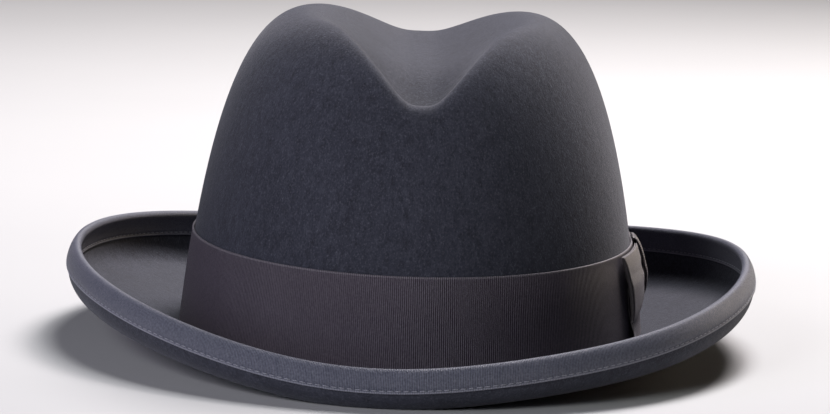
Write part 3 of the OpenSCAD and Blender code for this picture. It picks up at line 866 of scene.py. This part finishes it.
def loop_outline(s, r):
    """One level of the loops seen from above, shrunk by r: e, v and o of the closed outline."""
    half_l = BOW_HALF_L + BOW_FLARE*s**3
    full = (BOW_LOOP_H - loops_o(0.5) - PINCH_H)*dome(s)
    fold_r = (PINCH_H + full*loop_puff(half_l, half_l))/2
    straight = half_l - fold_r
    k = np.linspace(-1, 1, 81)
    e = straight*np.sign(k)*np.abs(k)**0.8
    v = loop_v(e/half_l, s)
    x = from_knot(e, half_l)
    gathers = 0.00022*np.sin(3.2*TURN*s + np.sign(e))*np.exp(-x*5)*dome(s)*(x > 0)
    face = loops_o(v) + PINCH_H + full*loop_puff(e, half_l) + gathers - r
    end_v = loop_v(1.0, s)
    bend = np.radians(np.linspace(75, -75, 11))
    fold = loops_o(end_v) + fold_r + (fold_r - r)*np.sin(bend)
    past = straight + (fold_r - r)*np.cos(bend)
    ends = np.full(bend.shape, end_v)
    return (np.concatenate([e, past, e[::-1], -past]), np.concatenate([v, ends, v[::-1], ends]),
            np.concatenate([face, fold, (loops_o(v) + r)[::-1], fold[::-1]]))


def bow_loops(material):
    shares = np.concatenate([[0, 0.015, 0.04], np.linspace(0.08, 0.92, 22), [0.96, 0.985, 1]])

    def layer(r):
        return [bow_at(*loop_outline(s, r)) for s in shares]

    outside, inside = layer(0), layer(BOW_T)
    width = (LOOP_HIGH - LOOP_LOW_FOLD)*BOW_BAND_H
    places = list(shares[::-1]*width) + list(shares*width) + [width]
    es, _, _ = loop_outline(0.5, 0)
    lengths = np.concatenate([[0], np.cumsum(np.abs(np.diff(np.append(es, es[0])))) + 1e-6])/BAND_RIB
    piece = ring_piece("bow_loop_ribbon", outside[::-1] + inside, places, lengths, material,
                       "bow_loops")


def bow_tails(material):
    """The flat strip under the loops, its ends cut on a slant."""
    slant = 0.003
    profile = cloth_profile(TAIL_LOW, TAIL_HIGH, BOW_LAYER, BOW_LAYER + BOW_T, 16, BOW_BAND_H, bead=0.0001)
    k = np.linspace(-1, 1, 61)
    rows = []
    for v, o in profile:
        e = k*(BOW_HALF_L - 0.002 + slant*(0.5 - v))
        lift = 0.0018*smooth((np.abs(k) - 0.7)/0.3)*smooth((0.34 - v)/0.24)
        rows.append(bow_at(e, v, o + lift))
    places = [(v - TAIL_LOW)*BOW_BAND_H for v, _ in profile] + [0]
    piece = capped_piece("bow_tail_ribbon", rows, places, k*BOW_HALF_L/BAND_RIB, material,
                         "bow_tails")


def bow_knot(material):
    """The upright strip that wraps round the middle of the loops, with soft creases along it."""
    shares = np.concatenate([[0, 0.01], np.linspace(0.03, 0.97, 27), [0.99, 1]])
    inset = 0.02

    def path(r):
        k = inset*r/BOW_T
        v = KNOT_LOW + (k + shares*(1 - 2*k))*(KNOT_HIGH - KNOT_LOW)
        least = knot_back_o(v) + 2*BOW_T + BOW_LAYER
        front = least + (BOW_LOOP_H + KNOT_OVER - loops_o(0.5) + BOW_LAYER)*dome(shares) - r
        return (np.concatenate([v, v[::-1]]), np.concatenate([front, (knot_back_o(v) + r)[::-1]]),
                np.concatenate([dome(shares), np.zeros(len(shares))]))

    edges = np.linspace(-1, 1, 25)*KNOT_W/2

    def layer(r):
        v, o, full = path(r)
        rows = []
        for e in edges:
            share = e/(KNOT_W/2)
            crease = -0.00035*(np.exp(-((share - 0.3)/0.09)**2) + np.exp(-((share + 0.38)/0.1)**2))
            rim = -0.0006*np.abs(share)**6
            rows.append(bow_at(np.full(v.shape, e), v, o + full*(crease + rim)))
        return rows

    rows = layer(0) + layer(BOW_T)[::-1]
    places = list(edges + KNOT_W/2) + list(edges[::-1] + KNOT_W/2) + [0]
    v, o, _ = path(0)
    step = np.hypot(np.diff(np.append(v, v[0]))*BOW_BAND_H, np.diff(np.append(o, o[0])))
    lengths = np.concatenate([[0], np.cumsum(step)])/BAND_RIB
    piece = ring_piece("bow_knot_ribbon", rows, places, lengths, material, "bow_knot")


# ---- Sweatband ----

def sweatband():
    t = DIRECTIONS
    edge = SWEATBAND_T/2
    low, high = LEATHER_FOOT, SWEATBAND_H + LEATHER_FOOT
    heights = np.linspace(low + edge, high - edge, 36)
    emboss = 0.00015*np.exp(-((heights - high + 0.004)/0.0005)**2)
    inner = [(h, LEATHER_IN + SWEATBAND_T - dent) for h, dent in zip(heights, emboss)]
    top = [(high - edge + edge*math.cos(a), LEATHER_IN + edge + edge*math.sin(a))
           for a in np.radians([60, 0, -60])]
    outer = [(h, LEATHER_IN) for h in heights[::-1]]
    foot = [(low + edge - edge*math.cos(a), LEATHER_IN + edge + edge*math.sin(a))
            for a in np.radians([-60, 0, 60])]
    profile = inner + top + outer + foot
    waves = 0.00012*np.sin(7*t) + 0.0001*np.sin(13*t + 1)
    rows = [wall_at(t, break_z(t) + h, off + waves*(off > LEATHER_IN + edge)) for h, off in profile]
    places = [h for h, _ in profile]
    length = ring_length(wall_at(t, break_z(t) + 0.03, LEATHER_IN))
    lengths = np.linspace(0, length, AROUND + 1)
    ring_piece("sweatband_leather", rows[::-1], (places + places[:1])[::-1], lengths,
               leather_material(), "sweatband")
    return length


def reed_middle(t):
    return wall_at(t, break_z(t) + REED_Z, REED_IN)


def round_reed(t, r, a):
    """A point at the angle a round the reed, 0 on its outer side and a quarter turn below."""
    o = outward(t)*r*math.cos(a)
    return reed_middle(t) + np.concatenate([o, np.full((len(t), 1), -r*math.sin(a))], -1)


def reed_tape():
    """The tape runs down between felt and leather, round below the reed, to a short lip inside it."""
    t = DIRECTIONS
    flange, lip = 0.005, 0.0005

    def layer(r):
        rows = [wall_at(t, break_z(t) + REED_Z + h, REED_IN - r) for h in np.linspace(flange, lip, 8)]
        rows += [round_reed(t, r, a) for a in np.linspace(0, math.pi, 13)]
        return rows + [round_reed(t, r, math.pi) + np.array([0, 0, lip])]

    inner_r = REED_D/2 + 0.00005
    outside, inside = layer(inner_r + LINING_T), layer(inner_r)
    width = flange + math.pi*(inner_r + LINING_T) + lip
    across = np.linspace(0, width, len(outside))
    length = ring_length(reed_middle(t))
    places = list(across) + list(across[::-1]) + [0]
    lengths = np.linspace(0, length, AROUND + 1)
    piece = ring_piece("reed_tape_cloth", outside + inside[::-1], places, lengths,
                       woven_material("reed_tape_cloth", (0.022, 0.019, 0.022), (0.055, 0.048, 0.052)),
                       "reed_tape")


def sweatband_stitches(length):
    """Stitches near the leather's lower edge, on its inner face."""
    height = 0.0016

    def surface(t, lift, out):
        off = LEATHER_IN + SWEATBAND_T + 0.00008 + lift
        return wall_at(t, break_z(t) + LEATHER_FOOT + height, off + out)

    material = thread_material("sweatband_thread", (0.16, 0.10, 0.055), (0.32, 0.22, 0.13))
    stitches_round("sweatband_stitches", round(length/SWEATBAND_STITCH), 0.37, 0.00022, surface,
                   SWEATBAND_THREAD_R, material, "sweatband_thread")


def sweatband_bow():
    """The small flat bow at the back of the sweatband: two loops and a knot, as one closed skin."""
    low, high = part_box("sweatband_bow")
    middle = (np.array(low) + np.array(high))/2
    half = (np.array(high) - np.array(low))/2
    xs = np.linspace(-1, 1, 81)
    away = np.abs(xs)
    height = half[2]*(0.32 + 0.68*smooth((away - 0.12)/0.6))*(1 - 0.18*smooth((away - 0.85)/0.15))
    height = np.maximum(height, half[2]*0.52*np.exp(-(xs/0.16)**4))
    puff = half[1]*(0.55 + 0.9*smooth((away - 0.14)/0.3)*smooth((1.02 - away)/0.35)
                    + 1.3*np.exp(-(xs/0.15)**4))
    sides, girth, thread_pitch = 28, 0.0112, 0.0004
    rows = []
    for a in np.arange(sides)*TURN/sides:
        c, sn = math.cos(a), math.sin(a)
        z = middle[2] + height*np.sign(c)*abs(c)**0.45
        creases = 1 + 0.25*math.cos(5*a)*np.exp(-((away - 0.25)/0.15)**2)
        y = middle[1] + puff*creases*np.sign(sn)*abs(sn)**0.8
        rows.append(np.stack([middle[0] + half[0]*xs, y, z], -1))
    across = np.arange(sides + 1)/sides*girth
    lengths = (xs + 1)*half[0]/thread_pitch
    piece = capped_piece("small_bow", rows, across, lengths,
                         satin_material("sweatband_bow_ribbon", (0.022, 0.021, 0.03), (0.05, 0.048, 0.062)),
                         "sweatband_bow")


def size_ticket():
    """A paper slip tucked behind the leather at the back."""
    t = np.radians(np.linspace(83, 95.6, 25))
    back, thickness = LEATHER_IN - 0.0003, 0.00025
    low, high = 0.014, 0.030
    rows = [wall_at(t, break_z(math.pi/2) + h, back) for h in np.linspace(low, high, 12)]
    rows += [wall_at(t, break_z(math.pi/2) + h, back + thickness) for h in np.linspace(high, low, 12)]
    across, lengths = np.arange(len(rows) + 1)/len(rows), np.arange(len(t))/len(t)
    capped_piece("ticket", rows, across, lengths, paper_material(), "size_ticket")


# ---- Lining ----

LINING_LOW = 0.042
LINING_WALL_TOP = 0.058
PLEATS = 84
PLEAT_DEPTH = 0.0011
PIPING_TURNS = 120


def liner_side(material):
    """The side of the lining, gathered into small pleats between the leather and the tip's seam."""
    count = 3*AROUND
    t = np.arange(count)*TURN/count
    pleat = 0.5 + 0.5*np.sin(PLEATS*t + 1.2*np.sin(5*t))
    start = math.radians(LINING_SHOULDER_END)
    wall_step, shoulder_step = 0.0023, 0.0018

    def layer(off):
        rows, across, place = [], [], 0.0
        for h in np.linspace(LINING_LOW, LINING_WALL_TOP, 8):
            rows.append(wall_at(t, break_z(t) + h, np.full(count, off)))
            across.append(place)
            place += wall_step
        seam = math.degrees(SEAM_ANGLE) + SEAM_HALF
        for a in np.radians(np.linspace(LINING_SHOULDER_END, seam, 26)):
            share = (start - a)/(start - SEAM_ANGLE)
            depth = PLEAT_DEPTH*smooth(share*4)*smooth((1 - share)*6)
            rows.append(shoulder_at(t, a, off + depth*pleat))
            across.append(place)
            place += shoulder_step
        return rows, across

    outside, across = layer(LINING_IN)
    inside, _ = layer(LINING_IN + LINING_T)
    length = ring_length(wall_at(t, break_z(t) + 0.05, LINING_IN))
    places = across + across[::-1] + [0]
    lengths = np.linspace(0, length, count + 1)
    piece = ring_piece("lining_side", outside + inside[::-1], places, lengths, material,
                       "liner_side")


def liner_tip(material):
    """The oval piece of the lining, under the crown's top."""
    t = DIRECTIONS
    inner = LINING_IN + LINING_T

    def layer(off):
        rows = [top_at(t, q, off + 0.0002*math.sin(9*q)*np.sin(4*t)) for q in np.linspace(0.03, 0.63, 26)]
        angles = np.radians(np.linspace(16, math.degrees(SEAM_ANGLE) - SEAM_HALF, 18))
        return rows + [shoulder_at(t, a, off) for a in angles]

    outside, inside = layer(LINING_IN), layer(inner)
    rows = outside + inside[::-1]
    across = list(np.linspace(0, 0.09, len(outside)))
    pole = np.zeros(1)
    ends = [top_at(pole, 0.0, LINING_IN)[0], top_at(pole, 0.0, inner)[0]]
    piece = ring_piece("lining_tip", rows, across + across[::-1], np.linspace(0, 0.4, AROUND + 1), material,
                       "liner_tip", ends)


def liner_piping():
    """A cord of twisted satin along the seam."""
    count = 2*AROUND
    t = np.arange(count)*TURN/count
    r = 0.0007
    middle = shoulder_at(t, SEAM_ANGLE, LINING_IN + LINING_T + r + 0.00015)
    rows = []
    sides = 14
    for a in np.arange(sides)*TURN/sides:
        swell = r*(1 + 0.10*np.cos(2*(a - PIPING_TURNS*t)))
        o = outward(t)*(swell*math.cos(a))[:, None]
        rows.append(middle + np.concatenate([o, (swell*math.sin(a))[:, None]], -1))
    length = ring_length(middle)
    ring_piece("lining_piping", rows, np.linspace(0, TURN*r, sides + 1), np.linspace(0, length, count + 1),
               satin_material("piping_satin", (0.09, 0.095, 0.12), (0.20, 0.205, 0.25)),
               "liner_piping")


def liner_shield():
    """The clear film over the middle of the tip."""
    t = DIRECTIONS
    off = LINING_IN + LINING_T + 0.00025
    thickness = 0.00025
    widths = np.linspace(0.03, 0.53, 26)
    rows = [top_at(t, q, off) for q in widths] + [top_at(t, q, off + thickness) for q in widths[::-1]]
    pole = np.zeros(1)
    ends = [top_at(pole, 0.0, off)[0], top_at(pole, 0.0, off + thickness)[0]]
    across, lengths = np.linspace(0, 0.1, len(rows)), np.linspace(0, 0.4, AROUND + 1)
    ring_piece("clear_shield", rows, across, lengths, film_material(),
               "liner_shield", ends)


# ---- Floor, light and camera ----

def floor():
    half = 20.0
    mesh = bpy.data.meshes.new("floor")
    z = -0.0002
    corners = [(-half, -half, z), (half, -half, z), (half, half, z), (-half, half, z)]
    mesh.from_pydata(corners, [], [(0, 1, 2, 3)])
    mesh.materials.append(floor_material())
    plane = bpy.data.objects.new("floor", mesh)
    bpy.context.scene.collection.objects.link(plane)


def direction(azimuth, elevation):
    """From the hat towards a place round it: azimuth 0 is in front of it, 90 at the wearer's left."""
    a, e = math.radians(azimuth), math.radians(elevation)
    return Vector((math.sin(a)*math.cos(e), -math.cos(a)*math.cos(e), math.sin(e)))


def softbox(name, azimuth, elevation, power, colour):
    """A square soft light aimed at the middle of the hat, seen by the pieces and not by the camera."""
    distance, side = 1.6, 0.5
    lamp = bpy.data.lights.new(name, "AREA")
    lamp.shape = "RECTANGLE"
    lamp.size, lamp.size_y = side, side
    lamp.energy = power
    lamp.color = colour
    box = bpy.data.objects.new(name, lamp)
    aim = Vector((0, 0, 0.06))
    back = direction(azimuth, elevation)
    box.location = aim + back*distance
    box.rotation_mode = "QUATERNION"
    box.rotation_quaternion = (-back).to_track_quat("-Z", "Y")
    box.visible_camera = False
    bpy.context.scene.collection.objects.link(box)


def lights():
    softbox("back_top", 152, 52, 38, (1.0, 0.94, 0.95))
    softbox("top", 160, 70, 21, (0.98, 0.98, 1.0))
    softbox("key", -30, 25, 10, (0.93, 0.96, 0.97))
    softbox("key_low", -45, 8, 6.5, (0.80, 0.84, 1.0))
    softbox("key_side", -60, 25, 3, (0.75, 0.6, 1.0))
    softbox("side", 140, 8, 4, (1.0, 0.85, 0.65))
    world = bpy.data.worlds.new("studio")
    bpy.context.scene.world = world
    world.use_nodes = True
    world.node_tree.nodes["Background"].inputs["Strength"].default_value = 0.0


def camera():
    """A long lens in front of the hat, a little above it and slightly tilted."""
    azimuth, elevation, roll = -0.471, 8.151, math.radians(1.909)
    distance, lens = 1.5762, 175.36
    aside, height = 0.00067, 0.05176
    yaw = math.radians(azimuth)
    aim = Vector((aside*math.cos(yaw), aside*math.sin(yaw), height))
    back = direction(azimuth, elevation)
    data = bpy.data.cameras.new("camera")
    data.lens = lens
    data.sensor_width = 36.0
    data.clip_start, data.clip_end = 0.05, 100
    view = bpy.data.objects.new("camera", data)
    view.location = aim + back*distance
    view.rotation_mode = "QUATERNION"
    view.rotation_quaternion = (-back).to_track_quat("-Z", "Y") @ Quaternion((0, 0, 1), roll)
    bpy.context.scene.collection.objects.link(view)
    bpy.context.scene.camera = view


# ---- The hat ----

felt_body()
binding_length = brim_binding()
thread = thread_material("binding_thread", (0.12, 0.12, 0.15), (0.30, 0.30, 0.34))
binding_stitches("binding_needle_stitches", "binding_needle_thread", -1, binding_length, thread)
binding_stitches("binding_bobbin_stitches", "binding_bobbin_thread", 1, binding_length, thread)
hat_band()
band_tacks()
ribbon = bow_material()
bow_loops(ribbon)
bow_tails(ribbon)
bow_knot(ribbon)
leather_length = sweatband()
reed_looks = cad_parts["sweatband_reed"].data.materials
reed_looks.clear()
reed_looks.append(reed_material())
reed_tape()
sweatband_stitches(leather_length)
sweatband_bow()
size_ticket()
lining = satin_material("lining_satin", (0.022, 0.024, 0.038), (0.05, 0.053, 0.078))
liner_side(lining)
liner_tip(lining)
liner_piping()
liner_shield()

floor()
lights()
camera()
bpy.context.scene.view_settings.view_transform = "Standard"
